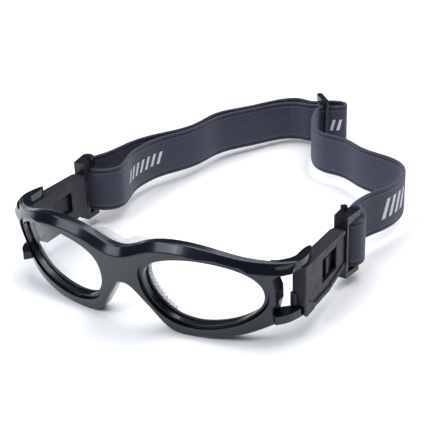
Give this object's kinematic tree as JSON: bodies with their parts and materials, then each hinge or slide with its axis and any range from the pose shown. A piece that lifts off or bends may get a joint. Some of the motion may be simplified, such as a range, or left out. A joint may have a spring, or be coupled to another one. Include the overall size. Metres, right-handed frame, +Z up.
{
  "type": "sports protective goggles",
  "caption": "Wraparound protective goggles with clear lenses, soft nose pad, hinged side clips and an elastic strap with a slider.",
  "frame": {"origin": "on the floor, under the middle of the whole part as it lies", "axes": "+X to the wearer's left, -Y out through the lenses, +Z up"},
  "size_m": [0.1578, 0.226, 0.0502],
  "materials": {
    "frame": "glossy black",
    "lens": "clear polycarbonate",
    "gasket": "matte",
    "nose_pad": "clear soft silicone",
    "pin": "satin",
    "clip": "fine grained charcoal",
    "ring": "satin",
    "tab": "satin",
    "strap": "ribbed elastic weave",
    "slider": "satin"
  },
  "bodies": {
    "front": {"front_frame": "frame", "lens_left": "lens", "lens_right": "lens", "lens_gasket_left": "gasket", "lens_gasket_right": "gasket", "nose_pad": "nose_pad", "hinge_pin_left": "pin", "hinge_pin_right": "pin", "strap": "strap"},
    "side_left": {"clip_left": "clip", "strap_ring_left": "ring", "strap_post_left": "ring"},
    "side_right": {"clip_right": "clip", "strap_ring_right": "ring", "strap_post_right": "ring"},
    "tab_left": {"release_tab_left": "tab"},
    "tab_right": {"release_tab_right": "tab"},
    "slider": {"strap_slider": "slider"}
  },
  "joints": [
    {"name": "hinge_left", "type": "hinge", "parent": "front", "child": "side_left", "pos_m": [0.07172, -0.0783, 0.02259], "axis": [0, 0.0419, 0.9991], "range_deg": [-8, 20], "deforming": ["strap"]},
    {"name": "hinge_right", "type": "hinge", "parent": "front", "child": "side_right", "pos_m": [-0.06898, -0.0783, 0.02259], "axis": [0, 0.0419, 0.9991], "range_deg": [-20, 8], "deforming": ["strap"]},
    {"name": "release_left", "type": "hinge", "parent": "side_left", "child": "tab_left", "pos_m": [0.07172, -0.04732, 0.02129], "axis": [0, 0.0419, 0.9991], "range_deg": [-5, 0], "stiffness_Nm_per_rad": 0.3},
    {"name": "release_right", "type": "hinge", "parent": "side_right", "child": "tab_right", "pos_m": [-0.06898, -0.04732, 0.02129], "axis": [0, 0.0419, 0.9991], "range_deg": [0, 5], "stiffness_Nm_per_rad": 0.3},
    {"name": "slider_slide", "type": "slide", "parent": "front", "child": "slider", "axis": [1, 0, 0], "range_m": [-0.006, 0.006], "deforming": ["strap"]}
  ]
}
